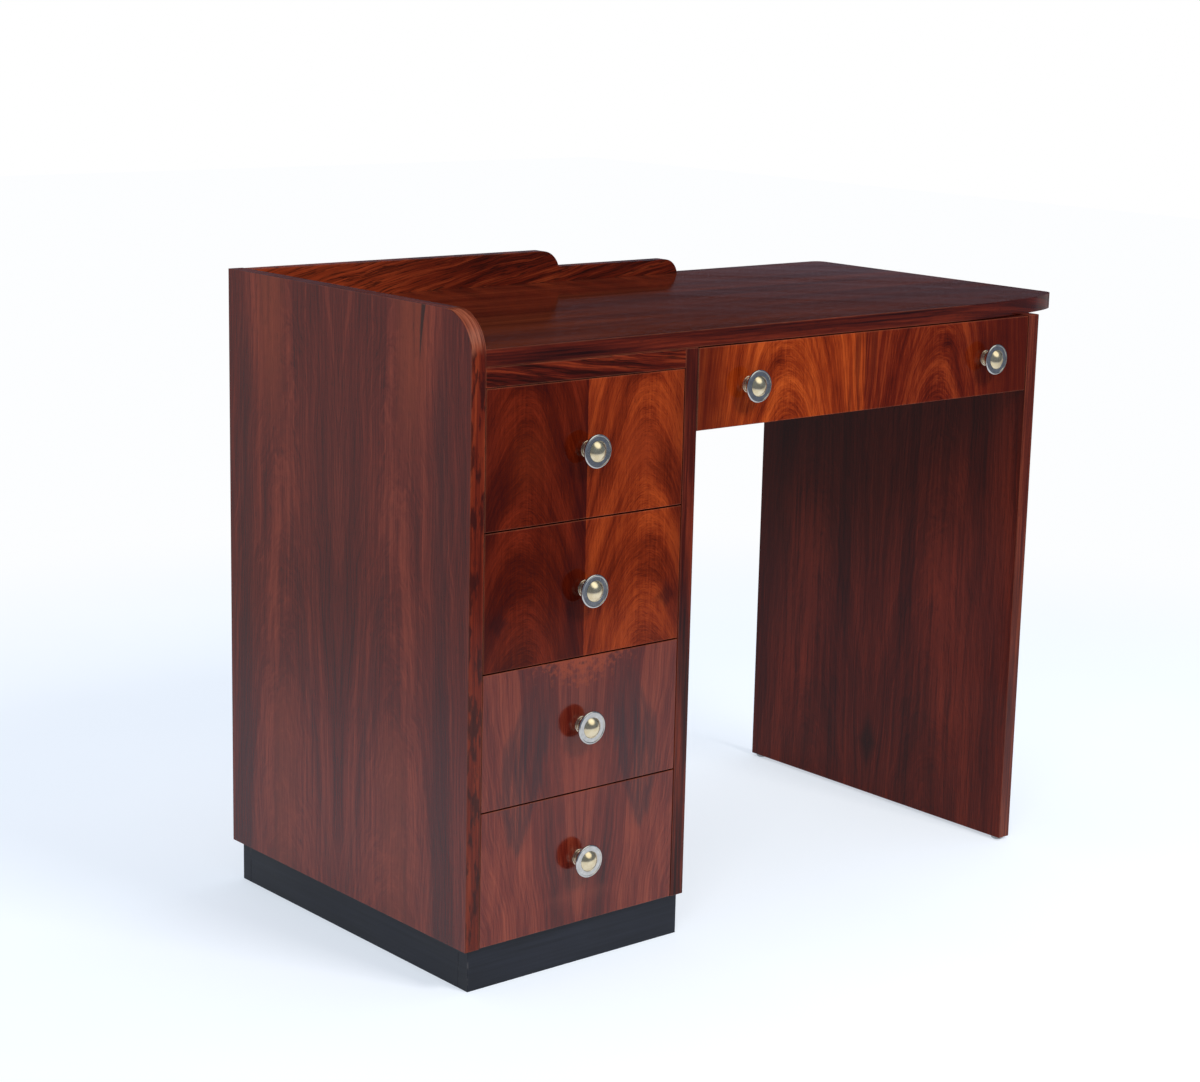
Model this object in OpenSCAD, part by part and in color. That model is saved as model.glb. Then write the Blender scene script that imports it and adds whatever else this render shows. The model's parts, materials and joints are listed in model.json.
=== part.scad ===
// Pedestal writing desk with one wide drawer over the kneehole and four drawers in the pedestal.
// Millimetres, +Z up, the desk's front faces -Y. The origin is on the floor, under the middle
// of the desk's overall box. Inside the modules, x runs from the outer face of the left side,
// y from the front edges of the sides towards the back, and z from the floor.

/* [Case] */
// Overall width, from the left side to the end of the overhanging top
desk_w = 1020; // [980:1:1100]
// Depth of the side panels, front to back
desk_d = 497; // [460:1:560]
// Height of the writing surface
desk_h = 750; // [720:1:780]
// Thickness of the side panels and the divider
side_t = 20; // [16:0.5:24]
// Clear width inside the drawer pedestal
pedestal_w = 295; // [270:1:320]
// Clear width of the kneehole
knee_w = 588; // [560:1:600]
// Gap between the floor and the right side, filled by its glides
glide_h = 4; // [3:0.5:8]

/* [Top] */
// Thickness of the writing top
top_t = 20; // [16:0.5:24]
// How far the top's front edge stands back from the side panels
top_setback = 3; // [1:0.5:6]
// Length of the sweep that rounds the top's front right corner, along x
sweep_w = 260; // [120:5:320]
// Depth of that sweep, along y
sweep_d = 52; // [30:1:80]
// Radius of the top's back right corner
back_corner_r = 15; // [5:1:30]

/* [Upstand] */
// Height of the left side and the high step of the upstand over the writing surface
upstand_h = 42; // [30:1:60]
// Height of the low step over the writing surface
step_h = 20; // [12:1:26]
// Length of the high step
high_len = 488; // [300:1:560]
// Whole length of the upstand
upstand_len = 702; // [600:1:800]
// Thickness of the upstand
upstand_t = 18; // [12:0.5:24]
// Radius of the left side's front corner
side_corner_r = 50; // [30:1:60]
// Radius of the high step's end
high_corner_r = 30; // [10:1:36]
// Radius of the low step's end
low_corner_r = 24; // [8:1:28]

/* [Plinth] */
// Height of the plinth
plinth_h = 53; // [40:1:80]
// How far the plinth stands back from the side panel's outer face
plinth_in_x = 10; // [4:1:20]
// How far the plinth stands back from the front and back edges
plinth_in_y = 8; // [4:1:20]
// Thickness of the plinth boards
plinth_t = 18; // [12:1:22]

/* [Drawers] */
// Number of drawers in the pedestal; the nodes below name four
drawer_n = 4; // [4:1:4]
// Height of the rail between the top and the first drawer
rail_h = 23; // [18:1:40]
// Height of the wide drawer's front
frieze_h = 100; // [90:1:130]
// Gap between one drawer front and the next
front_gap = 1.5; // [1:0.1:3]
// Gap between a drawer front and the panel beside it
side_gap = 1; // [0.6:0.1:2]
// Thickness of the drawer fronts
front_t = 20; // [18:0.5:24]
// Thickness of the drawer sides
box_t = 14; // [12:0.5:16]
// Thickness of the drawer backs
rear_t = 12; // [10:0.5:14]
// Thickness of the drawer bottoms
bottom_t = 5; // [4:0.5:6]
// Depth of a drawer from its front face to its back face
drawer_d = 470; // [440:1:480]

/* [Knobs] */
// Diameter of the knob's disc
knob_d = 40; // [30:1:44]
// How far the domed centre stands out from the drawer front
knob_out = 25; // [22:0.5:30]
// Distance of each wide drawer knob from the drawer's middle
knob_spread = 212; // [150:1:230]

/* [Hidden] */
$fn = 48;

// Facets of large and of small round faces
fine_fn = 96;
small_fn = 24;

// Amount by which a cutter runs past the face it cuts
eps = 1;

// Levels above the floor
top_z = desk_h - top_t;
side_top_z = desk_h + upstand_h;
rail_z = top_z - rail_h;
pitch = (rail_z - plinth_h) / drawer_n;

// Places along x
divider_x = side_t + pedestal_w;
knee_x = divider_x + side_t;
right_x = knee_x + knee_w;
knee_mid_x = knee_x + knee_w / 2;
pedestal_mid_x = side_t + pedestal_w / 2;

// Top: how far it ends before the panels' back edges, and the rebate that holds the upstand
top_back_in = 4;
top_back_y = desk_d - top_back_in;
upstand_y = top_back_y - upstand_t;
rebate_deep = 6;
rebate_z = desk_h - rebate_deep;

// Pedestal bottom and back, and the rail behind the wide drawer
base_t = 12;
base_gap = 1.5;
base_y = front_t + base_gap;
back_t = 8;
back_rail_t = 18;
back_rail_y = top_back_y - back_rail_t;

// Plinth: its right board stands back less, from the divider's face
plinth_right_in = 3;
plinth_x0 = plinth_in_x;
plinth_x1 = knee_x - plinth_right_in;
plinth_y0 = plinth_in_y;
plinth_y1 = desk_d - plinth_in_y;

// Drawer fronts: the wide drawer's lower edge, its front and its sides
frieze_z = top_z - frieze_h;
frieze_front_h = frieze_h - side_gap;
front_h = pitch - front_gap;

// Drawer box: the sides end short of the front's lower and upper edges, and leave a gap
// to the case. The bottom lies in a groove above their lower edge.
box_below = 14;
box_above = 14;
box_gap = 1.5;
bottom_up = 10;
bottom_in = 5;
back_lower = 6;
joint_gap = 0.1;
side_h = front_h - box_below - box_above;
frieze_side_h = frieze_front_h - box_below - box_above;
box_x0 = side_t + box_gap;
box_x1 = divider_x - box_gap;
frieze_box_x0 = knee_x + box_gap;
frieze_box_x1 = right_x - box_gap;

// Dovetails: how many on each size of drawer, a tail tip's share of its step, the slope of
// a tail's cheeks, and how deep the tails reach into the front
tail_n = 4;
frieze_tail_n = 2;
tail_share = 0.62;
tail_slope = 0.16;
front_lap = 14;

// Runners on the case, and the grooves for them in the drawer sides
runner_w = 8;
runner_h = 16;
runner_in = 13;
runner_y = front_t + runner_in;
run_gap = 0.4;
groove_y = runner_y - run_gap;
groove_w = runner_w - box_gap + run_gap;
groove_h = runner_h + 2 * run_gap;

// Wood screws; the places are shares of a strip's length
screw_r = 2;
head_r = 3.8;
head_h = 2.2;
runner_screw_places = [0.08, 0.5, 0.92];
cleat_screw_places = [0.15, 0.85];

// Cleats that hold the top to the sides
cleat_w = 20;
cleat_h = 13;
cleat_front_in = 8;
cleat_back_in = 30;
cleat_y = front_t + cleat_front_in;
cleat_end_y = desk_d - cleat_back_in;
cleat_xs = [side_t, divider_x - cleat_w, knee_x, right_x - cleat_w];

// Nail glides under the right side
glide_r = 8;
glide_foot_r = 6.5;
glide_bevel = 1.2;
glide_shank_r = 1.5;
glide_shank = 16;
glide_tip_gap = 1;
glide_in = 12;
glide_ys = [glide_in, desk_d - glide_in];

// Glue blocks inside the plinth's corners
block_leg = 40;
block_h = 45;

// Knob: the foot and its bead, the waisted stem, and the disc with a sunk ring and a
// pocket for the domed cap
foot_r = 10.4;
foot_h = 1.2;
bead_r = 1.2;
bead_x = 8.2;
bead_z = 2.9;
stem_r = 7.8;
waist = 0.4;
flare = 4;
cap_rise = 5;
disc_face = knob_out - cap_rise;
disc_t = 3.6;
ring_sunk = 0.6;
rim_w = 0.8;
cap_r = 12.2;
pocket_r = cap_r + joint_gap;
pocket_deep = 2.5;
pocket_z = disc_face - pocket_deep;

// Knob screw, from inside the drawer
knob_bore_r = 2.6;
knob_bore_deep = 12;
knob_screw_r = 2.5;
knob_tip_gap = 1;
knob_head_r = 5;
knob_head_h = 3;
slot_w = 1;
slot_deep = 1.2;

// Knob places
frieze_knob_xs = [knee_mid_x - knob_spread, knee_mid_x + knob_spread];
frieze_knob_z = frieze_z + frieze_front_h / 2;

// Colours
side_brown = [0.36, 0.15, 0.12];
top_brown = [0.24, 0.10, 0.08];
flame_brown = [0.48, 0.16, 0.08];
dark_flame = [0.30, 0.11, 0.09];
lining = [0.62, 0.44, 0.28];
plywood = [0.70, 0.55, 0.38];
black_stain = [0.13, 0.13, 0.15];
nickel = [0.72, 0.71, 0.68];
pale_nickel = [0.86, 0.82, 0.72];
steel = [0.55, 0.56, 0.58];

// Height of drawer i's lower edge and of its runners' middle; drawer 1 is under the rail
function front_z(i) = rail_z - i * pitch + front_gap / 2;
function runner_mid(i) = front_z(i) + box_below + side_h / 2;
frieze_runner_mid = frieze_z + box_below + frieze_side_h / 2;

// Points of an arc about (cx, cy) from angle a0 to a1, in n steps
function arc(cx, cy, r, a0, a1, n) =
  [for (k = [0:n]) [cx + r * cos(a0 + (a1 - a0) * k / n), cy + r * sin(a0 + (a1 - a0) * k / n)]];

// Moves a sub-part from the case's own corner to the origin
module place() {
  translate([-desk_w / 2, (knob_out - desk_d) / 2, 0])
    children();
}

// A board from corner a to corner b
module board(a, b) {
  translate(a)
    cube(b - a);
}

// Cutter that rounds an upper corner at the far +x end, for a solid running along y.
// x and z are the square corner's place, and it cuts from y0 to y1.
module round_right_end(x, z, r, y0, y1) {
  translate([x - r, y0, z - r])
    difference() {
      cube([r + eps, y1 - y0, r + eps]);
      translate([0, -eps, 0])
        rotate([-90, 0, 0])
          cylinder(r = r, h = y1 - y0 + 2 * eps, $fn = fine_fn);
    }
}

// ---- Case ----

module left_side_panel() {
  r = side_corner_r;
  color(side_brown)
    place()
      difference() {
        board([0, 0, plinth_h], [side_t, desk_d, side_top_z]);
        translate([-eps, -eps, side_top_z - r])
          difference() {
            cube([side_t + 2 * eps, r + eps, r + eps]);
            translate([-eps, r + eps, 0])
              rotate([0, 90, 0])
                cylinder(r = r, h = side_t + 4 * eps, $fn = fine_fn);
          }
      }
}

module divider_panel() {
  color(side_brown)
    place()
      board([divider_x, 0, plinth_h], [knee_x, desk_d - back_t, top_z]);
}

module right_side_panel() {
  color(side_brown)
    place()
      difference() {
        board([right_x, 0, glide_h], [right_x + side_t, desk_d, top_z]);
        for (y = glide_ys)
          translate([right_x + side_t / 2, y, glide_h - eps])
            cylinder(r = glide_shank_r, h = glide_shank + eps, $fn = small_fn);
      }
}

// Outline of the top: square at the left, where it meets the side panel, and swept
// back in a long quarter ellipse at the front right corner.
module top_outline() {
  sweep = [for (a = [0:3.75:90])
    [desk_w - sweep_w + sweep_w * sin(a), top_setback + sweep_d - sweep_d * cos(a)]];
  corner = arc(desk_w - back_corner_r, top_back_y - back_corner_r, back_corner_r, 0, 90, 6);
  polygon(concat([[side_t, top_back_y], [side_t, top_setback]], sweep, corner));
}

// The top, with a rebate along its back edge that the upstand is glued into
module desk_top() {
  color(top_brown)
    place()
      difference() {
        translate([0, 0, top_z])
          linear_extrude(top_t)
            top_outline();
        board([side_t - eps, upstand_y, rebate_z],
              [side_t + upstand_len, top_back_y + eps, desk_h + eps]);
      }
}

// One step of the upstand: a board from the left side to x, up to z, with a rounded end
module upstand_step(x, z, r) {
  difference() {
    board([side_t, upstand_y, rebate_z], [x, top_back_y, z]);
    round_right_end(x, z, r, upstand_y - eps, top_back_y + eps);
  }
}

module upstand() {
  color(side_brown)
    place() {
      upstand_step(side_t + high_len, side_top_z, high_corner_r);
      upstand_step(side_t + upstand_len, desk_h + step_h, low_corner_r);
    }
}

module top_rail() {
  color(flame_brown)
    place()
      board([side_t, 0, rail_z], [divider_x, front_t, top_z]);
}

module pedestal_bottom() {
  color(lining)
    place()
      board([side_t, base_y, plinth_h], [divider_x, desk_d - back_t, plinth_h + base_t]);
}

module pedestal_back() {
  color(plywood)
    place()
      board([side_t, desk_d - back_t, plinth_h], [knee_x, desk_d, top_z]);
}

module frieze_back_rail() {
  color(side_brown)
    place()
      board([knee_x, back_rail_y, frieze_z], [right_x, back_rail_y + back_rail_t, top_z]);
}

// ---- Plinth ----

module plinth_front() {
  color(black_stain)
    place()
      board([plinth_x0, plinth_y0, 0], [plinth_x1, plinth_y0 + plinth_t, plinth_h]);
}

module plinth_back() {
  color(black_stain)
    place()
      board([plinth_x0, plinth_y1 - plinth_t, 0], [plinth_x1, plinth_y1, plinth_h]);
}

module plinth_left() {
  color(black_stain)
    place()
      board([plinth_x0, plinth_y0 + plinth_t, 0],
            [plinth_x0 + plinth_t, plinth_y1 - plinth_t, plinth_h]);
}

module plinth_right() {
  color(black_stain)
    place()
      board([plinth_x1 - plinth_t, plinth_y0 + plinth_t, 0],
            [plinth_x1, plinth_y1 - plinth_t, plinth_h]);
}

// Three-cornered glue blocks, one in each inner corner
module plinth_corner_blocks() {
  in_x = [plinth_x0 + plinth_t, plinth_x1 - plinth_t];
  in_y = [plinth_y0 + plinth_t, plinth_y1 - plinth_t];
  color(lining)
    place()
      for (i = [0, 1], j = [0, 1])
        translate([in_x[i], in_y[j], plinth_h - block_h])
          mirror([i, 0, 0])
            mirror([0, j, 0])
              linear_extrude(block_h)
                polygon([[0, 0], [block_leg, 0], [0, block_leg]]);
}

// ---- Runners, cleats and their screws ----

// A runner on the face of a panel at x; dir is +1 when the space is on its +x side
module runner(x, z, dir) {
  x0 = dir > 0 ? x : x - runner_w;
  difference() {
    board([x0, runner_y, z - runner_h / 2], [x0 + runner_w, drawer_d, z + runner_h / 2]);
    for (f = runner_screw_places)
      translate([x, runner_y + f * (drawer_d - runner_y), z])
        rotate([0, dir * 90, 0])
          screw_hole(runner_w);
  }
}

// Countersunk hole through a strip t thick; its head end is at z = t
module screw_hole(t) {
  translate([0, 0, -eps])
    cylinder(r = screw_r + joint_gap, h = t + 2 * eps, $fn = small_fn);
  translate([0, 0, t - head_h - joint_gap])
    cylinder(r1 = screw_r + joint_gap, r2 = head_r + joint_gap, h = head_h + joint_gap, $fn = small_fn);
  translate([0, 0, t])
    cylinder(r = head_r + joint_gap, h = eps, $fn = small_fn);
}

// Countersunk screw in that hole: the head's face is at z = t, and the shank ends at z = 0
module wood_screw(t) {
  cylinder(r = screw_r, h = t - head_h, $fn = small_fn);
  translate([0, 0, t - head_h])
    cylinder(r1 = screw_r, r2 = head_r, h = head_h, $fn = small_fn);
}

module pedestal_runners() {
  color(lining)
    place()
      for (i = [1:drawer_n]) {
        runner(side_t, runner_mid(i), 1);
        runner(divider_x, runner_mid(i), -1);
      }
}

module frieze_runners() {
  color(lining)
    place() {
      runner(knee_x, frieze_runner_mid, 1);
      runner(right_x, frieze_runner_mid, -1);
    }
}

// Screws of one runner
module runner_screw_row(x, z, dir) {
  for (f = runner_screw_places)
    translate([x, runner_y + f * (drawer_d - runner_y), z])
      rotate([0, dir * 90, 0])
        wood_screw(runner_w);
}

module runner_screws() {
  color(steel)
    place() {
      for (i = [1:drawer_n]) {
        runner_screw_row(side_t, runner_mid(i), 1);
        runner_screw_row(divider_x, runner_mid(i), -1);
      }
      runner_screw_row(knee_x, frieze_runner_mid, 1);
      runner_screw_row(right_x, frieze_runner_mid, -1);
    }
}

module top_cleats() {
  color(lining)
    place()
      for (x = cleat_xs)
        difference() {
          board([x, cleat_y, top_z - cleat_h], [x + cleat_w, cleat_end_y, top_z]);
          for (f = cleat_screw_places)
            translate([x + cleat_w / 2, cleat_y + f * (cleat_end_y - cleat_y), top_z])
              rotate([180, 0, 0])
                screw_hole(cleat_h);
        }
}

module cleat_screws() {
  color(steel)
    place()
      for (x = cleat_xs, f = cleat_screw_places)
        translate([x + cleat_w / 2, cleat_y + f * (cleat_end_y - cleat_y), top_z])
          rotate([180, 0, 0])
            wood_screw(cleat_h);
}

// Domed nail glides: the shank runs up into the panel's lower edge
module panel_glides() {
  color(steel)
    place()
      for (y = glide_ys)
        translate([right_x + side_t / 2, y, 0]) {
          cylinder(r1 = glide_foot_r, r2 = glide_r, h = glide_bevel);
          translate([0, 0, glide_bevel])
            cylinder(r = glide_r, h = glide_h - glide_bevel);
          translate([0, 0, glide_h])
            cylinder(r = glide_shank_r - joint_gap / 2, h = glide_shank - glide_tip_gap,
              $fn = small_fn);
        }
}

// ---- Drawers ----

// Dovetail tails of one end of a drawer side, as a flat outline in (length, height):
// the root is at length 0, and the tips are deep away from it. spare widens the sockets.
module tails(height, count, deep, spare) {
  step = height / count;
  tip = step * tail_share;
  root = tip - 2 * tail_slope * deep;
  for (k = [0:count - 1])
    translate([0, (k + 0.5) * step])
      polygon([[-eps * spare, -root / 2 - spare], [deep + spare, -tip / 2 - spare],
               [deep + spare, tip / 2 + spare], [-eps * spare, root / 2 + spare]]);
}

// Stands a flat (length, height) outline up along +y with its thickness along +x
module stand_up(t) {
  rotate([90, 0, 90])
    linear_extrude(t)
      children();
}

// A drawer front from x0 to x1, its lower edge at z, with sockets for the sides,
// a groove for the bottom and a hole for each knob screw
module drawer_front(x0, x1, z, h, box_h, knob_xs, count) {
  lip = box_gap - side_gap;
  difference() {
    board([x0 + side_gap, 0, z], [x1 - side_gap, front_t, z + h]);
    for (x = [x0 + box_gap - lip - eps, x1 - box_gap - box_t])
      translate([x, front_t, z + box_below])
        mirror([0, 1, 0])
          stand_up(box_t + lip + eps)
            tails(box_h, count, front_lap, joint_gap);
    board([x0 + box_gap + box_t - bottom_in, front_t - bottom_in, z + box_below + bottom_up],
          [x1 - box_gap - box_t + bottom_in, front_t + eps, z + box_below + bottom_up + bottom_t]);
    for (x = knob_xs)
      translate([x, -eps, z + h / 2])
        rotate([-90, 0, 0])
          cylinder(r = knob_bore_r, h = front_t + 2 * eps);
  }
}

// A drawer side whose outer face is at x. dir is +1 for the left side. Its outer face has
// the runner groove, its inner face the groove for the bottom, and its ends the tails.
module drawer_side(x, z, h, dir, count) {
  rear_y = drawer_d - rear_t;
  translate([x, 0, z])
    mirror([dir > 0 ? 0 : 1, 0, 0])
      difference() {
        union() {
          board([0, front_t, 0], [box_t, rear_y, h]);
          translate([0, front_t, 0])
            mirror([0, 1, 0])
              stand_up(box_t)
                tails(h, count, front_lap - joint_gap, 0);
          translate([0, rear_y, 0])
            stand_up(box_t)
              tails(h, count, rear_t, 0);
        }
        board([-eps, groove_y, (h - groove_h) / 2],
              [groove_w, drawer_d + eps, (h + groove_h) / 2]);
        board([box_t - bottom_in, 0, bottom_up],
              [box_t + eps, drawer_d + eps, bottom_up + bottom_t]);
      }
}

// A drawer back between the outer faces x0 and x1; it stands on the drawer bottom
module drawer_back(x0, x1, z, h, count) {
  rear_y = drawer_d - rear_t;
  difference() {
    board([x0, rear_y, z + bottom_up + bottom_t], [x1, drawer_d, z + h - back_lower]);
    for (x = [x0 - eps, x1 - box_t - joint_gap])
      translate([x, rear_y, z])
        stand_up(box_t + eps + joint_gap)
          tails(h, count, rear_t, joint_gap);
    for (x = [x0 - eps, x1 - groove_w - eps])
      board([x, rear_y - eps, z + (h - groove_h) / 2],
            [x + groove_w + 2 * eps, drawer_d + eps, z + (h + groove_h) / 2]);
  }
}

module drawer_bottom(x0, x1, z) {
  board([x0 + box_t - bottom_in + joint_gap, front_t - bottom_in + joint_gap, z + bottom_up],
        [x1 - box_t + bottom_in - joint_gap, drawer_d, z + bottom_up + bottom_t]);
}

// Turned knob on the drawer face at y = 0: a stepped foot, a waisted stem and a flat disc.
// In the profile, the first number is the radius and the second the distance from the face.
module knob(x, z) {
  rim_r = disc_t / 2;
  rim_x = knob_d / 2 - rim_r;
  ring_z = disc_face - ring_sunk;
  profile = concat(
    [[0, 0], [foot_r, 0], [foot_r, foot_h], [foot_r - 1, foot_h + 0.6]],
    arc(bead_x, bead_z, bead_r, -60, 60, 6),
    [[stem_r, 4.2], [stem_r - waist, 7], [stem_r + waist, 11.5], [stem_r + flare, 14.6]],
    [[rim_x - 1, disc_face - disc_t]],
    arc(rim_x, disc_face - rim_r, rim_r, -90, 90, 10),
    [[rim_x - rim_w, ring_z], [pocket_r, ring_z], [pocket_r, pocket_z], [0, pocket_z]]);
  translate([x, 0, z])
    rotate([90, 0, 0])
      difference() {
        rotate_extrude()
          polygon(profile);
        translate([0, 0, -eps])
          cylinder(r = knob_bore_r, h = knob_bore_deep + eps, $fn = small_fn);
      }
}

// Domed cap set in the disc's pocket
module knob_cap(x, z) {
  foot_z = disc_face - ring_sunk;
  rise = knob_out - foot_z;
  // Radius of the sphere whose cap has this rise on this foot
  sphere_r = (cap_r * cap_r + rise * rise) / (2 * rise);
  half = asin(cap_r / sphere_r);
  translate([x, 0, z])
    rotate([90, 0, 0])
      rotate_extrude()
        polygon(concat([[0, pocket_z], [cap_r, pocket_z]],
          arc(0, foot_z + rise - sphere_r, sphere_r, 90 - half, 90, 14)));
}

// Screw from inside the drawer, through the front and into the knob's stem
module knob_screw(x, z) {
  translate([x, front_t, z])
    rotate([90, 0, 0])
      cylinder(r = knob_screw_r, h = front_t + knob_bore_deep - knob_tip_gap, $fn = small_fn);
  translate([x, front_t + knob_head_h, z])
    rotate([90, 0, 0])
      difference() {
        cylinder(r = knob_head_r, h = knob_head_h);
        translate([-knob_head_r, -slot_w / 2, -eps])
          cube([2 * knob_head_r, slot_w, eps + slot_deep]);
      }
}

// One piece of the pedestal drawer i, numbered from the top
module pedestal_drawer(i, piece) {
  z = front_z(i);
  knob_z = z + front_h / 2;
  box_z = z + box_below;
  place() {
    if (piece == "front")
      color(i < 3 ? flame_brown : dark_flame)
        drawer_front(side_t, divider_x, z, front_h, side_h, [pedestal_mid_x], tail_n);
    if (piece == "left_side")
      color(lining)
        drawer_side(box_x0, box_z, side_h, 1, tail_n);
    if (piece == "right_side")
      color(lining)
        drawer_side(box_x1, box_z, side_h, -1, tail_n);
    if (piece == "back")
      color(lining)
        drawer_back(box_x0, box_x1, box_z, side_h, tail_n);
    if (piece == "bottom")
      color(plywood)
        drawer_bottom(box_x0, box_x1, box_z);
    if (piece == "knob")
      color(nickel)
        knob(pedestal_mid_x, knob_z);
    if (piece == "knob_cap")
      color(pale_nickel)
        knob_cap(pedestal_mid_x, knob_z);
    if (piece == "knob_screw")
      color(steel)
        knob_screw(pedestal_mid_x, knob_z);
  }
}

module frieze_drawer(piece) {
  box_z = frieze_z + box_below;
  place() {
    if (piece == "front")
      color(flame_brown)
        drawer_front(knee_x, right_x, frieze_z, frieze_front_h, frieze_side_h, frieze_knob_xs,
          frieze_tail_n);
    if (piece == "left_side")
      color(lining)
        drawer_side(frieze_box_x0, box_z, frieze_side_h, 1, frieze_tail_n);
    if (piece == "right_side")
      color(lining)
        drawer_side(frieze_box_x1, box_z, frieze_side_h, -1, frieze_tail_n);
    if (piece == "back")
      color(lining)
        drawer_back(frieze_box_x0, frieze_box_x1, box_z, frieze_side_h, frieze_tail_n);
    if (piece == "bottom")
      color(plywood)
        drawer_bottom(frieze_box_x0, frieze_box_x1, box_z);
    for (x = frieze_knob_xs) {
      if (piece == "knobs")
        color(nickel)
          knob(x, frieze_knob_z);
      if (piece == "knob_caps")
        color(pale_nickel)
          knob_cap(x, frieze_knob_z);
      if (piece == "knob_screws")
        color(steel)
          knob_screw(x, frieze_knob_z);
    }
  }
}

left_side_panel();
divider_panel();
right_side_panel();
desk_top();
upstand();
top_rail();
pedestal_bottom();
pedestal_back();
frieze_back_rail();
plinth_front();
plinth_back();
plinth_left();
plinth_right();
plinth_corner_blocks();
pedestal_runners();
frieze_runners();
runner_screws();
top_cleats();
cleat_screws();
panel_glides();
pedestal_drawer(1, "front");  // drawer_1_front
pedestal_drawer(1, "left_side");  // drawer_1_left_side
pedestal_drawer(1, "right_side");  // drawer_1_right_side
pedestal_drawer(1, "back");  // drawer_1_back
pedestal_drawer(1, "bottom");  // drawer_1_bottom
pedestal_drawer(1, "knob");  // drawer_1_knob
pedestal_drawer(1, "knob_cap");  // drawer_1_knob_cap
pedestal_drawer(1, "knob_screw");  // drawer_1_knob_screw
pedestal_drawer(2, "front");  // drawer_2_front
pedestal_drawer(2, "left_side");  // drawer_2_left_side
pedestal_drawer(2, "right_side");  // drawer_2_right_side
pedestal_drawer(2, "back");  // drawer_2_back
pedestal_drawer(2, "bottom");  // drawer_2_bottom
pedestal_drawer(2, "knob");  // drawer_2_knob
pedestal_drawer(2, "knob_cap");  // drawer_2_knob_cap
pedestal_drawer(2, "knob_screw");  // drawer_2_knob_screw
pedestal_drawer(3, "front");  // drawer_3_front
pedestal_drawer(3, "left_side");  // drawer_3_left_side
pedestal_drawer(3, "right_side");  // drawer_3_right_side
pedestal_drawer(3, "back");  // drawer_3_back
pedestal_drawer(3, "bottom");  // drawer_3_bottom
pedestal_drawer(3, "knob");  // drawer_3_knob
pedestal_drawer(3, "knob_cap");  // drawer_3_knob_cap
pedestal_drawer(3, "knob_screw");  // drawer_3_knob_screw
pedestal_drawer(4, "front");  // drawer_4_front
pedestal_drawer(4, "left_side");  // drawer_4_left_side
pedestal_drawer(4, "right_side");  // drawer_4_right_side
pedestal_drawer(4, "back");  // drawer_4_back
pedestal_drawer(4, "bottom");  // drawer_4_bottom
pedestal_drawer(4, "knob");  // drawer_4_knob
pedestal_drawer(4, "knob_cap");  // drawer_4_knob_cap
pedestal_drawer(4, "knob_screw");  // drawer_4_knob_screw
frieze_drawer("front");  // frieze_drawer_front
frieze_drawer("left_side");  // frieze_drawer_left_side
frieze_drawer("right_side");  // frieze_drawer_right_side
frieze_drawer("back");  // frieze_drawer_back
frieze_drawer("bottom");  // frieze_drawer_bottom
frieze_drawer("knobs");  // frieze_drawer_knobs
frieze_drawer("knob_caps");  // frieze_drawer_knob_caps
frieze_drawer("knob_screws");  // frieze_drawer_knob_screws
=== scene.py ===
"""Looks of the pedestal writing desk: polished rosewood veneers, nickel knobs, pale drawer boxes.

Metres, +Z up. The desk's front faces -Y and its drawer pedestal is at -X.
"""

import json
import math

import bmesh
import bpy
from mathutils import Matrix, Vector

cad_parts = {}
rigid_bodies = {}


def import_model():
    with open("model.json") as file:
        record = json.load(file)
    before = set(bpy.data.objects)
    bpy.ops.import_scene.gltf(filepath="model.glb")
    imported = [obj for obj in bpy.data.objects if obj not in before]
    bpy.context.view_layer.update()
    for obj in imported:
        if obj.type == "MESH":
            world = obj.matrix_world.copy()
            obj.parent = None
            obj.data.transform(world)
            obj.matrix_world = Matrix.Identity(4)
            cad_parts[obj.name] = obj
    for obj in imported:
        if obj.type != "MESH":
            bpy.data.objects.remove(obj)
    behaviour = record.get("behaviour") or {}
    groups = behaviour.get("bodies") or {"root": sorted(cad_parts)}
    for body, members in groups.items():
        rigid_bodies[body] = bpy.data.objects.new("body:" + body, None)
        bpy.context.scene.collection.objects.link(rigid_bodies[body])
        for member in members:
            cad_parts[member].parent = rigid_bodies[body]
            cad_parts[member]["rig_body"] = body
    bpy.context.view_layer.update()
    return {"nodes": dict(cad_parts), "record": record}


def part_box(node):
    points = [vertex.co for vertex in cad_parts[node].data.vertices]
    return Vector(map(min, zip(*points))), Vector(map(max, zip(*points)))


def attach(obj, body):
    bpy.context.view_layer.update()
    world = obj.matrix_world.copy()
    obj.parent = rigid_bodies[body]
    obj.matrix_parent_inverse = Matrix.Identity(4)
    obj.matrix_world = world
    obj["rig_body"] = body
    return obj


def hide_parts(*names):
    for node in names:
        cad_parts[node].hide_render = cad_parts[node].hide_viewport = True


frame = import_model()

MM = 0.001
SEED_SPACING = 7.31


# ---- Graphs: a material's nodes, written as sums and products ----


class Value:
    """A number in a graph. Sums, products and powers of values become Math nodes."""

    def __init__(self, graph, socket):
        self.graph = graph
        self.socket = socket

    def __add__(self, other):
        return self.graph.math("ADD", self, other)

    def __sub__(self, other):
        return self.graph.math("SUBTRACT", self, other)

    def __rsub__(self, other):
        return self.graph.math("SUBTRACT", other, self)

    def __mul__(self, other):
        return self.graph.math("MULTIPLY", self, other)

    def __pow__(self, other):
        return self.graph.math("POWER", self, other)

    def __abs__(self):
        return self.graph.math("ABSOLUTE", self)

    __radd__ = __add__
    __rmul__ = __mul__


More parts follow.
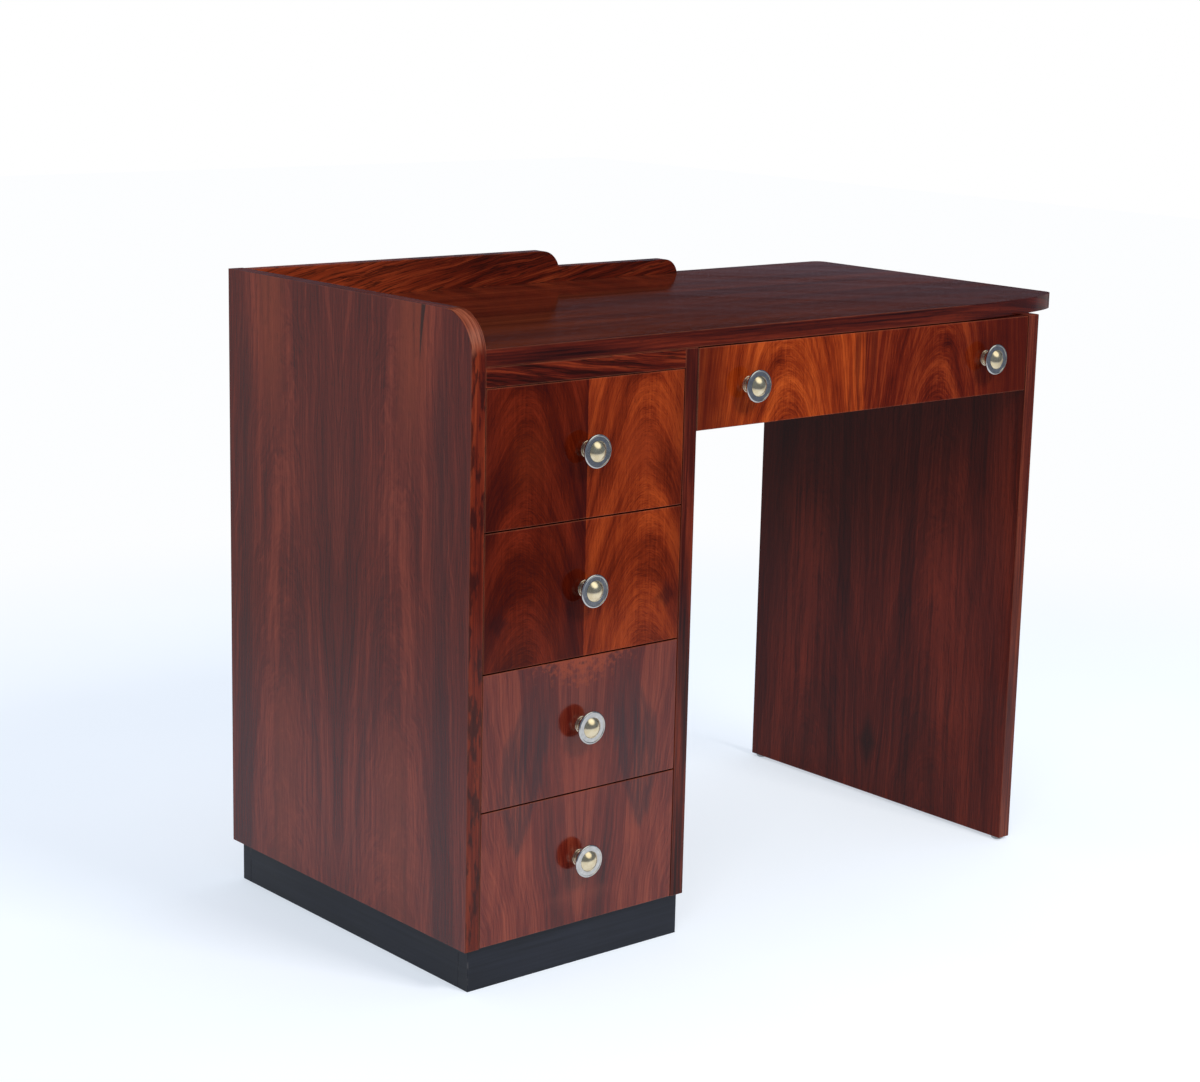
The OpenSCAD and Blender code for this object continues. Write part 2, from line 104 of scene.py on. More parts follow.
class Graph:
    """The nodes of a material or of the world. x, y and z are the place on the object in
    metres, or in the world the direction."""

    def __init__(self, owner, coordinates="Object"):
        self.owner = owner
        owner.use_nodes = True
        self.tree = owner.node_tree
        place = self.node("ShaderNodeTexCoord").outputs[coordinates]
        split = self.node("ShaderNodeSeparateXYZ", Vector=place)
        self.x, self.y, self.z = [Value(self, s) for s in split.outputs]

    def node(self, kind, settings=None, **inputs):
        made = self.tree.nodes.new(kind)
        for key, value in (settings or {}).items():
            setattr(made, key, value)
        for key, value in inputs.items():
            self.feed(made.inputs[key.replace("_", " ")], value)
        return made

    def feed(self, socket, value):
        """Links a value or a socket to an input, or sets the input to a plain number."""
        value = value.socket if isinstance(value, Value) else value
        if isinstance(value, bpy.types.NodeSocket):
            self.tree.links.new(value, socket)
        else:
            socket.default_value = value

    def math(self, operation, *terms):
        made = self.node("ShaderNodeMath", {"operation": operation})
        for socket, term in zip(made.inputs, terms):
            self.feed(socket, term)
        return Value(self, made.outputs[0])

    def least(self, a, b):
        return self.math("MINIMUM", a, b)

    def most(self, a, b):
        return self.math("MAXIMUM", a, b)

    def noise(self, x, y, seed, detail=2.0, roughness=0.5):
        """Smooth noise from 0 to 1. A place in metres is multiplied by the noise's cells per
        metre, and each seed gives another pattern."""
        place = self.node("ShaderNodeCombineXYZ", X=x, Y=y, Z=seed * SEED_SPACING)
        made = self.node("ShaderNodeTexNoise", Vector=place.outputs[0], Scale=1.0,
                         Detail=detail, Roughness=roughness)
        return Value(self, made.outputs["Fac"])

    def sway(self, x, y, seed, size, **texture):
        """Noise about 0, up to half of size either way."""
        return (self.noise(x, y, seed, **texture) - 0.5) * size

    def step(self, value, low, high):
        """0 below low, 1 above high, and smooth between; low may be above high."""
        made = self.node("ShaderNodeMapRange", {"interpolation_type": "SMOOTHSTEP"},
                         Value=value, From_Min=low, From_Max=high)
        return Value(self, made.outputs["Result"])

    def near(self, value, middle, outer, inner):
        """1 where value is within inner of middle, falling to 0 at outer."""
        return self.step(abs(value - middle), outer, inner)

    def grade(self, value, places, colours):
        """Colour by value: each colour at its place, and blends between them."""
        made = self.node("ShaderNodeValToRGB", Fac=value)
        points = made.color_ramp.elements
        while len(points) < len(places):
            points.new(0.5)
        for point, place, colour in zip(points, places, colours):
            point.position = place
            point.color = (*colour, 1.0)
        return made.outputs["Color"]

    def mix(self, share, a, b):
        """Colour a where share is 0, and b where it is 1."""
        made = self.node("ShaderNodeMix", {"data_type": "RGBA"})
        self.feed(made.inputs["Factor"], share)
        for socket, colour in ((made.inputs[6], a), (made.inputs[7], b)):
            self.feed(socket, (*colour, 1.0) if isinstance(colour, tuple) else colour)
        return made.outputs[2]

    def finish(self, colour, roughness, height, depth, **fixed):
        """Ends the material: its colour, roughness and bump, and settings that never vary."""
        bump = self.node("ShaderNodeBump", Height=height, Strength=1.0, Distance=depth)
        shader = self.tree.nodes["Principled BSDF"]
        self.feed(shader.inputs["Base Color"], colour)
        self.feed(shader.inputs["Roughness"], roughness)
        self.feed(shader.inputs["Normal"], bump.outputs["Normal"])
        for key, value in fixed.items():
            self.feed(shader.inputs[key.replace("_", " ")], value)
        return self.owner


def material_graph(name):
    return Graph(bpy.data.materials.new(name))


def arris(g, box, width):
    """1 along the edges of a board that fills box, falling to 0 at width from them."""
    lo, hi = box
    near = [g.least(p - lo[i], hi[i] - p) for i, p in enumerate((g.x, g.y, g.z))]
    middle = g.most(g.least(near[0], near[1]), g.least(g.most(near[0], near[1]), near[2]))
    return g.step(middle, width, width * 0.2)


# ---- Palettes: the dark, mid and pale tones of each piece's wood, in linear colour ----


LEFT_FACE = ((0.050, 0.003, 0.003), (0.108, 0.010, 0.006), (0.220, 0.032, 0.015))
LEFT_EDGE = ((0.040, 0.003, 0.001), (0.110, 0.011, 0.003), (0.22, 0.032, 0.008))
INNER_FACE = ((0.034, 0.003, 0.002), (0.082, 0.007, 0.003), (0.16, 0.017, 0.006))
RIGHT_EDGE = ((0.030, 0.003, 0.002), (0.090, 0.013, 0.006), (0.20, 0.040, 0.016))
DIVIDER_EDGE = ((0.008, 0.001, 0.001), (0.050, 0.005, 0.002), (0.15, 0.020, 0.007))
TOP_FACE = ((0.034, 0.003, 0.001), (0.068, 0.009, 0.003), (0.130, 0.021, 0.006))
TOP_EDGE = ((0.010, 0.001, 0.001), (0.052, 0.005, 0.002), (0.13, 0.015, 0.005))
UPSTAND = ((0.030, 0.003, 0.001), (0.090, 0.008, 0.002), (0.19, 0.028, 0.007))
RAIL = ((0.016, 0.002, 0.001), (0.060, 0.005, 0.002), (0.17, 0.022, 0.006))
BACK_RAIL = ((0.030, 0.003, 0.002), (0.075, 0.008, 0.004), (0.14, 0.018, 0.008))
FRONT_EDGE = ((0.020, 0.003, 0.002), (0.070, 0.009, 0.004), (0.16, 0.026, 0.010))
# Drawers 1 and 2 have one veneer in both halves: the left palette is it in painted shade and the
# right palette in painted light, for the light the figure catches.
UPPER_LEFT_SHADED = ((0.030, 0.002, 0.001), (0.062, 0.005, 0.001), (0.125, 0.012, 0.003))
UPPER_RIGHT_LIT = ((0.060, 0.005, 0.001), (0.150, 0.016, 0.003), (0.29, 0.042, 0.007))
FRIEZE_LEFT = ((0.068, 0.005, 0.001), (0.190, 0.021, 0.003), (0.39, 0.064, 0.009))
FRIEZE_RIGHT = ((0.030, 0.002, 0.001), (0.096, 0.008, 0.002), (0.22, 0.030, 0.006))
LOWER = ((0.034, 0.003, 0.003), (0.108, 0.011, 0.006), (0.250, 0.044, 0.019))

# Bare woods have a dark and a pale tone.
FRONT_BACK = ((0.20, 0.10, 0.05), (0.34, 0.19, 0.10))
BOX_SIDES = ((0.36, 0.18, 0.075), (0.56, 0.31, 0.13))
BOX_BOTTOM = ((0.36, 0.18, 0.075), (0.60, 0.37, 0.18))
RUNNERS = ((0.32, 0.16, 0.07), (0.50, 0.28, 0.13))
PLYWOOD = ((0.20, 0.078, 0.029), (0.37, 0.165, 0.064))


# ---- Wood: rosewood figure, polish and wear ----


def polish(g, wood, fibre, along, box, seed, specular, gloss=0.10, wear=0.35):
    """French polish over a veneer: filled pores, slight waves, smears, and rubbed arrises.
    wood is the veneer's colour, and gloss the polish's usual roughness."""
    pores = g.step(g.noise(fibre * 1500, along * 70, seed + 5), 0.58, 0.70)
    waves = g.noise(g.x * 16 + g.y * 16, g.z * 16, seed + 6)
    smears = g.noise(g.x * 9 + g.y * 9, g.z * 9, seed + 7, detail=4.0)
    worn = arris(g, box, 1.6 * MM) * g.noise(g.x * 60 + g.y * 45, g.z * 60, seed + 8)
    colour = g.mix(pores * 0.5, wood, (0.012, 0.002, 0.001))
    colour = g.mix(worn * wear, colour, (0.30, 0.09, 0.04))
    roughness = smears * 0.12 + worn * 0.2 + pores * 0.05 + (gloss - 0.06)
    height = waves - pores * 0.06
    return g.finish(colour, roughness, height, 0.10 * MM, Specular_IOR_Level=specular)


def figure(g, across, seam, apex, curve, seed, grain):
    """Book-matched figure: the halves mirror about seam, and in each half the lines are
    arches nested about apex. grain is their closeness. Gives the tone, from 0, dark, to 1,
    pale, the place across the lines, and the distance from the seam."""
    half = abs(across - seam)
    lean = half - apex + g.sway(half * 6, g.z * 5, seed + 4, 30 * MM)
    drift = g.sway(half * 15, g.z * 9, seed, 36 * MM / grain, detail=4.0)
    arch = g.z + lean * lean * curve + drift
    bands = g.noise(arch * (24 * grain), half * 10, seed + 1, detail=3.0)
    streaks = g.noise(arch * (150 * grain), half * 24, seed + 2, detail=4.0, roughness=0.65)
    lines = g.noise(arch * (640 * grain), half * 70, seed + 3, detail=3.0, roughness=0.6)
    mottle = g.noise(half * 42, g.z * (26 * grain), seed + 9, detail=5.0, roughness=0.6)
    tone = bands * 0.42 + streaks * 0.20 + lines * 0.23 + mottle * 0.15
    veins = g.noise(arch * (85 * grain), half * 15, seed + 10, detail=4.0, roughness=0.6)
    vein = g.near(veins, 0.5, 0.022, 0.004)
    return tone - vein * (0.005 + 0.030 * grain), arch, half


def side_veneer(name, box, seed, palette, specular, marks):
    """Veneer of the panels: book-matched tall arches, and marks that only some panels have."""
    g = material_graph(name)
    seam = (box[0].y + box[1].y) / 2 + 9 * MM
    tone, _, half = figure(g, g.y, seam, apex=118 * MM, curve=38.0, seed=seed, grain=0.17)
    fibre = half + g.sway(half * 8, g.z * 3.6, seed + 14, 34 * MM, detail=3.0)
    broad = g.noise(fibre * 34, g.z * 1.6, seed + 13, detail=3.0)
    streaks = g.noise(fibre * 330, g.z * 4.5, seed + 11, detail=4.0, roughness=0.62)
    fine = g.noise(fibre * 1000, g.z * 15, seed + 12, detail=3.0)
    tone = tone * 0.52 + broad * 0.14 + streaks * 0.21 + fine * 0.13
    colour = marks(g, g.grade(tone, (0.42, 0.50, 0.58), palette), half)
    return polish(g, colour, g.y, g.z, box, seed, specular, wear=0.2)


def left_marks(g, colour, half):
    """The left panel: a dark band near both edges, and beside them a glow with a dark spur
    at the top. Between the arches in the middle lie a dusk and a leaning line."""
    drift = g.sway(half * 9, g.z * 5, 33, 40 * MM, detail=3.0)
    band = g.near(half + drift, 205 * MM, 26 * MM, 4 * MM) * g.step(g.z, 800 * MM, 660 * MM)
    leaning = half - (g.z - 85 * MM) * 0.19 + drift * 0.4
    line = g.near(leaning, 22 * MM, 11 * MM, 1 * MM) * g.step(g.z, 600 * MM, 420 * MM)
    middle = g.step(half, 75 * MM, 15 * MM) * g.near(g.z, 500 * MM, 240 * MM, 40 * MM)
    dusk = g.most(g.most(band * 0.85, line * 0.5), middle * 0.35)
    breaks = g.noise(half * 160, g.z * 5, 31, detail=3.0)
    colour = g.mix(dusk * (breaks * 0.6 + 0.3), colour, (0.035, 0.004, 0.006))
    high_glow = g.near(half + drift * 0.5, 145 * MM, 45 * MM, 6 * MM)
    high_glow = high_glow * g.step(g.z, 560 * MM, 740 * MM)
    low_glow = g.near(half, 120 * MM, 50 * MM, 6 * MM) * g.step(g.z, 340 * MM, 220 * MM)
    glow = g.most(high_glow, low_glow * 0.6)
    colour = g.mix(glow * (breaks * 0.7 + 0.15), colour, (0.26, 0.042, 0.014))
    return left_spurs(g, colour, half)


def left_spurs(g, colour, half):
    """Two dark spurs that hang from the left panel's top edge: a wedge in the front half and
    a hairline in the back half."""
    front = g.step(g.y, 20 * MM, -20 * MM)
    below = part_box("left_side_panel")[1].z - g.z
    slant = half - 168 * MM + below * 0.16 - below * below * 0.9
    width = (72 * MM - below) * (front * 0.050 + 0.008)
    spur = g.step(width - abs(slant), -0.7 * MM, 1.2 * MM)
    return g.mix(spur * (front * 0.35 + 0.50), colour, (0.014, 0.003, 0.003))


def inner_marks(g, colour, half):
    """The faces beside the kneehole: painted shade, darker upwards under the top and to the back,
    with a warm glow in each half and one dark blotch low in the middle."""
    # Painted shade: darker upwards under the desk top and towards the back of the kneehole.
    dusk = g.step(g.z * 0.9 + g.y * 0.7, 150 * MM, 700 * MM)
    colour = g.mix(dusk * 0.82, colour, (0.015, 0.002, 0.003))
    drift = g.sway(half * 10, g.z * 5, 43, 50 * MM, detail=3.0)
    glow = g.near(half + drift, 146 * MM, 62 * MM, 4 * MM)
    glow = glow * g.near(g.z, 260 * MM, 280 * MM, 60 * MM)
    streak = g.step(g.noise(half * 170, g.z * 5, 47, detail=4.0), 0.38, 0.62)
    colour = g.mix(glow * streak * 0.36, colour, (0.28, 0.032, 0.012))
    blotch = half + abs(g.z - 80 * MM) * 0.45 + drift * 0.5
    return g.mix(g.step(blotch, 30 * MM, 8 * MM) * 0.75, colour, (0.010, 0.002, 0.002))


def edge_band(name, box, along_x, seed, palette, marks=None, wear=0.35):
    """Solid strip on an edge: streaks and patches along it, and marks if it has any."""
    g = material_graph(name)
    if along_x:
        across, along = g.z + g.y * 0.6, g.x
    else:
        across, along = g.x, g.z - g.y
    fibre = across + g.sway(along * 9, across * 30, seed, 4 * MM, detail=3.0)
    streaks = g.noise(fibre * 240, along * 5, seed + 1, detail=4.0, roughness=0.65)
    patches = g.noise(fibre * 60, along * 6, seed + 2)
    colour = g.grade(streaks * 0.65 + patches * 0.35, (0.34, 0.50, 0.66), palette)
    if marks:
        colour = marks(g, colour)
    return polish(g, colour, fibre, along, box, seed, specular=0.28, gloss=0.12, wear=wear)


def left_edge_marks(g, colour):
    """The left panel's front strip: dark patches, and paler wood where the corner turns."""
    lo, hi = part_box("left_side_panel")
    patches = g.noise(g.x * 130, g.z * 26, 27, detail=4.0, roughness=0.6)
    colour = g.mix(g.step(patches, 0.48, 0.60) * 0.85, colour, (0.024, 0.003, 0.002))
    # Paler wood where the strip's corner turns upwards.
    corner = g.step(g.z + (patches - 0.5) * (20 * MM), hi.z - 52 * MM, hi.z - 34 * MM)
    corner = corner * g.step(g.y, lo.y + 60 * MM, lo.y + 36 * MM)
    grain = g.noise(g.x * 380, (g.z - g.y) * 34, 29, detail=4.0, roughness=0.6)
    pale_corner_wood = g.mix(g.step(grain, 0.38, 0.62), (0.090, 0.015, 0.007), (0.27, 0.078, 0.040))
    return g.mix(corner * 0.85, colour, pale_corner_wood)


def top_veneer(box):
    """The writing top: dark red-brown, its grain along the desk, and a narrow dark line along the
    upstand's foot.
    """
    g = material_graph("top_veneer")
    fibre = g.y + g.sway(g.y * 5, g.x * 1.3, 41, 16 * MM, detail=3.0)
    bands = g.noise(fibre * 17, g.x * 0.8, 42)
    streaks = g.noise(fibre * 120, g.x * 2.5, 43, detail=4.0, roughness=0.6)
    lines = g.noise(fibre * 560, g.x * 9, 44, detail=3.0)
    colour = g.grade(bands * 0.45 + streaks * 0.35 + lines * 0.20, (0.38, 0.50, 0.62), TOP_FACE)
    foot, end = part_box("upstand")[0].y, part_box("upstand")[1].x
    # A narrow dark line where the top meets the upstand's foot.
    foot_line = g.near(g.y, foot, 2.4 * MM, 0.9 * MM) * g.step(g.x, end, end - 3 * MM)
    colour = g.mix(foot_line * 0.8, colour, (0.008, 0.002, 0.001))
    return polish(g, colour, fibre, g.x, box, seed=41, specular=0.30)


def streaked_veneer(name, box, seed, palette, slant, glow=0.0):
    """Upstand and rail: red-brown with long wavy near-black streaks. slant is how steeply
    they fall towards the right, and glow how orange the left end is."""
    g = material_graph(name)
    fibre = g.z + g.sway(g.x * 7, g.z * 14, seed, 20 * MM, detail=3.0) + g.x * slant
    tone = g.noise(fibre * 110, g.x * 5, seed + 1, detail=4.0, roughness=0.6)
    fine = g.noise(fibre * 520, g.x * 14, seed + 2, detail=3.0)
    colour = g.grade(tone * 0.65 + fine * 0.35, (0.38, 0.50, 0.62), palette)
    end = g.step(g.x, box[0].x + 360 * MM, box[0].x + 40 * MM)
    colour = g.mix(end * glow * fine, colour, (0.42, 0.060, 0.014))
    veins = g.noise(fibre * 160, g.x * 7, seed + 3, detail=4.0, roughness=0.6)
    colour = g.mix(g.near(veins, 0.48, 0.035, 0.008) * 0.7, colour, (0.010, 0.002, 0.001))
    return polish(g, colour, fibre, g.x, box, seed, specular=0.2)


def matched_veneer(name, box, seam, apex, curve, seed, left, right, marks, grain=1.0,
                   specular=0.16):
    """Veneer of the drawer fronts. left and right are the palettes of its halves; seam, apex,
    curve and grain shape its figure."""
    g = material_graph(name)
    tone, arch, half = figure(g, g.x, seam, apex, curve, seed, grain)
    fibres = g.noise(g.x * 520, g.z * 16, seed + 11, detail=4.0, roughness=0.6)
    tone = tone * 0.84 + fibres * 0.16
    halves = [g.grade(tone, (0.38, 0.48, 0.59), palette) for palette in (left, right)]
    colour = g.mix(g.math("GREATER_THAN", g.x, seam), *halves)
    colour = marks(g, colour, half)
    return polish(g, colour, arch, half * 4, box, seed, specular)


def upper_marks(g, colour, half):
    """Drawers 1 and 2: a dark fan beside the joint in the left half, one orange glow in each
    half of drawer 1, darker outer ends, and small burls low in drawer 2."""
    lo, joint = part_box("drawer_2_front")
    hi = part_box("drawer_1_front")[1]
    left = g.math("LESS_THAN", g.x, (lo.x + hi.x) / 2)
    ragged = g.sway(half * 60, g.z * 20, 79, 30 * MM, detail=4.0)
    fan = g.near(half - (joint.z - g.z) * 0.12 + ragged, 6 * MM, 22 * MM, 2 * MM)
    colour = g.mix(fan * left * 0.48, colour, (0.022, 0.002, 0.002))
    glow = g.near(g.z + ragged, hi.z - 85 * MM, 50 * MM, 8 * MM)
    glow = glow * g.near(half, 83 * MM, 40 * MM, 6 * MM) * (0.38 - left * 0.24)
    colour = g.mix(glow, colour, (0.27, 0.036, 0.008))
    outer = g.step(half, 115 * MM, 150 * MM)
    colour = g.mix(outer * 0.35, colour, (0.030, 0.003, 0.002))
    burl = abs(half - 125 * MM) + abs(g.z - (lo.z + 55 * MM)) + ragged * 0.5
    return g.mix(g.step(burl, 24 * MM, 6 * MM) * 0.6, colour, (0.018, 0.002, 0.002))


def frieze_marks(g, colour, half):
    """The wide drawer: deep red streaks either side of the joint and dark outer ends."""
    lo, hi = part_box("frieze_drawer_front")
    along = g.x + g.sway(g.x * 26, g.z * 9, 87, 80 * MM, detail=4.0)
    right_end = g.step(along, hi.x - 150 * MM, hi.x - 20 * MM) * 0.75
    left_end = g.step(along, lo.x + 70 * MM, lo.x) * 0.7
    colour = g.mix(g.most(right_end, left_end), colour, (0.045, 0.004, 0.002))
    streaks = g.step(g.noise(half * 120, g.z * 6, 89, detail=4.0), 0.52, 0.66)
    streaks = streaks * g.step(half, 85 * MM, 15 * MM)
    return g.mix(streaks * 0.6, colour, (0.055, 0.005, 0.002))


def lower_marks(g, colour, half):
    """Drawers 3 and 4: darker upwards in painted shade, which leaves the lower part pale as if the
    floor's reflection lay on it; a dark spear in each half, and a burl at the top.
    """
    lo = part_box("drawer_4_front")[0]
    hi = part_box("drawer_3_front")[1]
    # Painted shade, darker upwards: the paler lower part stands in for the floor's reflection in
    # the polish.
    shade = g.step(g.z, lo.z + 60 * MM, hi.z - 20 * MM) * 0.35
    colour = g.mix(shade, colour, (0.045, 0.005, 0.004))
    colour = spears(g, colour, half, g.z - (lo.z + 96 * MM), hi.z - g.z)
    return burls(g, colour, half, g.z - lo.z, hi.z - g.z)


def spears(g, colour, half, up, below):
    """A ragged spear in each half, widening from its tip. up is the height above the tips,
    below the depth under drawer 3's top, where the spears fade."""
    ragged = g.sway(half * 130, g.z * 15, 73, 42 * MM, detail=5.0, roughness=0.7)
    fade = g.step(below, 2 * MM, 100 * MM)
    centre = 95 * MM - up * up * 0.75
    wide = g.least(up * 0.36, 28 * MM) * (fade * 0.7 + 0.3)
    body = wide - abs(half - centre) + ragged
    rim = g.near(body, 4 * MM, 12 * MM, 1 * MM)
    streaks = g.step(g.noise(half * 240, g.z * 10, 75, detail=4.0), 0.40, 0.62)
    inside = g.step(body, -8 * MM, 12 * MM) * (streaks * 0.50 + 0.22)
    dark = g.most(rim * 0.58, inside) * g.step(up, -4 * MM, 12 * MM)
    return g.mix(dark * (fade * 0.6 + 0.4), colour, (0.016, 0.004, 0.007))


def burls(g, colour, half, up, below):
    """An orange burl with dark flecks at the top of drawer 3, a red glow under it, and a
    pale knot low in drawer 4. up and below are the distances to the bottom and the top."""
    burl = g.noise(half * 95, g.z * 95, 77, detail=5.0, roughness=0.65)
    reach = 66 * MM - half * 0.75 - below * 1.7 + (burl - 0.5) * 0.26
    colour = g.mix(g.step(reach, 0.0, 50 * MM) * 0.55, colour, (0.28, 0.042, 0.009))
    flecks = g.step(burl, 0.58, 0.66) * g.step(below + half * 0.3, 60 * MM, 12 * MM)
    colour = g.mix(flecks * 0.65, colour, (0.030, 0.004, 0.003))
    red = g.step(half, 65 * MM, 15 * MM) * g.near(below, 135 * MM, 60 * MM, 15 * MM)
    colour = g.mix(red * burl * 0.5, colour, (0.24, 0.034, 0.012))
    knot = g.step(abs(up - 34 * MM) + half * 0.5 + burl * (20 * MM), 44 * MM, 12 * MM)
    return g.mix(knot * 0.28, colour, (0.22, 0.044, 0.022))


def plain_wood(name, box, axis, seed, palette):
    """Bare planed wood of the drawer boxes and cleats: fine flecks along the grain."""
    g = material_graph(name)
    places = [g.x, g.y, g.z]
    along = places.pop(axis)
    across = places[0] + places[1]
    fibre = across + g.sway(across * 6, along * 2, seed, 20 * MM)
    rings = g.noise(fibre * 45, along * 1.5, seed + 1, detail=3.0)
    flecks = g.noise(fibre * 900, along * 90, seed + 2)
    grime = g.noise(across * 14, along * 9, seed + 3, detail=4.0)
    tone = rings * 0.7 + flecks * 0.3
    colour = g.grade(tone, (0.30, 0.68), palette)
    colour = g.mix(g.step(grime, 0.52, 0.75) * 0.35, colour, (0.16, 0.09, 0.05))
    colour = g.mix(arris(g, box, 2 * MM) * 0.35, colour, (0.24, 0.14, 0.08))
    return g.finish(colour, tone * 0.2 + 0.5, flecks + rings, 0.06 * MM)


def black_stain(name, box):
    """Blue-black stained plinth: satin, grain just showing, arrises scuffed."""
    g = material_graph(name)
    along = g.x + g.y
    grain = g.noise(g.z * 260, along * 7, 91, detail=4.0)
    cloud = g.noise(g.z * 18, along * 12, 92, detail=3.0)
    scuff = g.step(g.noise(along * 70, g.z * 70, 93, detail=4.0), 0.50, 0.66)
    stain = ((0.004, 0.005, 0.009), (0.013, 0.015, 0.024))
    colour = g.grade(grain * 0.6 + cloud * 0.4, (0.32, 0.68), stain)
    colour = g.mix(arris(g, box, 2.2 * MM) * scuff * 0.6, colour, (0.07, 0.065, 0.065))
    return g.finish(colour, cloud * 0.2 + 0.34, grain, 0.03 * MM, Specular_IOR_Level=0.35)


# ---- Metal ----


def plated(name, low, high, roughness, seed):
    """Polished metal between two colours, with a little haze and a few dull specks."""
    g = material_graph(name)
    haze = g.noise(g.x * 160, g.z * 160, seed, detail=4.0)
    specks = g.step(g.noise(g.x * 900, g.z * 900 + g.y * 300, seed + 1), 0.66, 0.74)
    colour = g.grade(haze, (0.35, 0.65), (low, high))
    colour = g.mix(specks * 0.5, colour, (0.25, 0.22, 0.17))
    worn = haze * 0.10 + specks * 0.25 + (roughness - 0.05)
    return g.finish(colour, worn, haze, 0.01 * MM, Metallic=1.0)


# ---- Meshes ----


SMOOTH_ANGLE = math.radians(35)
ROUNDED_ANGLE = math.radians(30)
FLAT_ANGLE = math.radians(1)
WELD = 0.02 * MM
FLUSH = 0.01 * MM


def shade(mesh):
    """Smooth shading, with the sharper edges kept sharp."""
    mesh.polygons.foreach_set("use_smooth", [True] * len(mesh.polygons))
    mesh.set_sharp_from_angle(angle=SMOOTH_ANGLE)


def piece(name, mesh, body, slot, *nodes):
    """Puts a mesh in the scene, on a body, standing for these CAD nodes."""
    made = bpy.data.objects.new(name, mesh)
    bpy.context.scene.collection.objects.link(made)
    even = made.modifiers.new("even_shading", "WEIGHTED_NORMAL")
    even.keep_sharp = True
    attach(made, body)
    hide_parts(*nodes)
    return made


def sharp_edges(bm, width, wanted):
    """Edges to round: bent enough, long enough for the width, and wanted."""
    found = []
    for edge in bm.edges:
        bent = len(edge.link_faces) == 2 and edge.calc_face_angle(0) > ROUNDED_ANGLE
        if bent and edge.calc_length() > 3 * width and wanted(edge):
            found.append(edge)
    return found


def rounded(bm, width, segments=3, wanted=lambda edge: True):
    """Rounds the chosen sharp edges of a closed mesh."""
    edges = sharp_edges(bm, width, wanted)
    bmesh.ops.bevel(bm, geom=edges, offset=width, segments=segments, profile=0.5,
                    affect="EDGES", clamp_overlap=True)


def welded(node):
    """A bmesh of a CAD node with its seams closed and its flat faces whole."""
    bm = bmesh.new()
    bm.from_mesh(frame["nodes"][node].data)
    bmesh.ops.remove_doubles(bm, verts=bm.verts, dist=WELD)
    bmesh.ops.dissolve_limit(bm, angle_limit=FLAT_ANGLE, verts=bm.verts, edges=bm.edges)
    return bm


def to_mesh(bm, name):
    """The finished mesh of a bmesh, which this frees."""
    mesh = bpy.data.meshes.new(name)
    bmesh.ops.recalc_face_normals(bm, faces=bm.faces)
    bm.to_mesh(mesh)
    bm.free()
    shade(mesh)
    return mesh


def skin(node, slot, width, wanted=lambda edge: True):
    """A CAD node again, with rounded arrises."""
    bm = welded(node)
    rounded(bm, width, wanted=wanted)
    return piece(node + "_finished", to_mesh(bm, node), body_of(node), slot, node)


def body_of(node):
    return frame["nodes"][node]["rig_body"]


def slot_of(node):
    rows = frame["record"]["subparts"]
    return next(row["material_slot"] for row in rows if row["node"] == node)


def arc(cx, cy, r, start, end, steps):
    """Points of an arc about (cx, cy), from one angle to another, in degrees."""
    turns = [math.radians(start + (end - start) * i / steps) for i in range(steps + 1)]
    return [(cx + r * math.cos(t), cy + r * math.sin(t)) for t in turns]


def prism(outline, axis, low, high):
    """A closed outline, extruded along an axis from low to high."""
    bm = bmesh.new()
    ends = []
    for depth in (low, high):
        places = [[*point[:axis], depth, *point[axis:]] for point in outline]
        ends.append([bm.verts.new(place) for place in places])
    bm.faces.new(ends[0])
    bm.faces.new(list(reversed(ends[1])))
    count = len(outline)
    for i in range(count):
        j = (i + 1) % count
        bm.faces.new([ends[0][j], ends[0][i], ends[1][i], ends[1][j]])
    return bm


def paint(made, materials, rule):
    """Gives each face the material whose number rule returns for its normal and middle."""
    for material in materials:
        made.data.materials.append(material)
    for face in made.data.polygons:
        face.material_index = rule(face.normal, face.center)


def cover(made, material):
    """Gives the whole piece one material."""
    paint(made, [material], lambda normal, middle: 0)


# ---- Case: its sizes that no CAD node's box gives, and its pieces ----


SIDE_CORNER_R = 50 * MM
SWEEP_W = 260 * MM
SWEEP_D = 52 * MM
SWEEP_STEPS = 48
BACK_CORNER_R = 15 * MM
HIGH_CORNER_R = 30 * MM
LOW_CORNER_R = 24 * MM
HIGH_LEN = 488 * MM
STEP_H = 20 * MM


def facing(axis, limit=0.5):
    """A paint rule: 0 for faces that look along an axis, 1 for the rest."""
    return lambda normal, middle: 0 if abs(normal[axis]) > limit else 1


def left_panel():
    """It rises above the top, and its upper front corner is round."""
    lo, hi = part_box("left_side_panel")
    r = SIDE_CORNER_R
    outline = [(lo.y, lo.z), *arc(lo.y + r, hi.z - r, r, 180, 90, 32), (hi.y, hi.z), (hi.y, lo.z)]
    bm = prism(outline, 0, lo.x, hi.x)
    rounded(bm, 1.0 * MM)
    made = piece("left_side_panel_finished", to_mesh(bm, "left_side_panel"), "case",
                 "side_veneer", "left_side_panel")
    face = side_veneer("left_side_veneer", (lo, hi), seed=1, palette=LEFT_FACE, specular=0.42,
                       marks=left_marks)
    band = edge_band("left_edge_band", (lo, hi), along_x=False, seed=11, palette=LEFT_EDGE,
                     marks=left_edge_marks, wear=0.2)
    paint(made, [face, band], facing(0))


def right_panel():
    made = skin("right_side_panel", "side_veneer", 1.0 * MM)
    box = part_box("right_side_panel")
    face = side_veneer("right_side_veneer", box, seed=3, palette=INNER_FACE, specular=0.18,
                       marks=inner_marks)
    band = edge_band("right_edge_band", box, along_x=False, seed=13, palette=RIGHT_EDGE)
    paint(made, [face, band], facing(0))


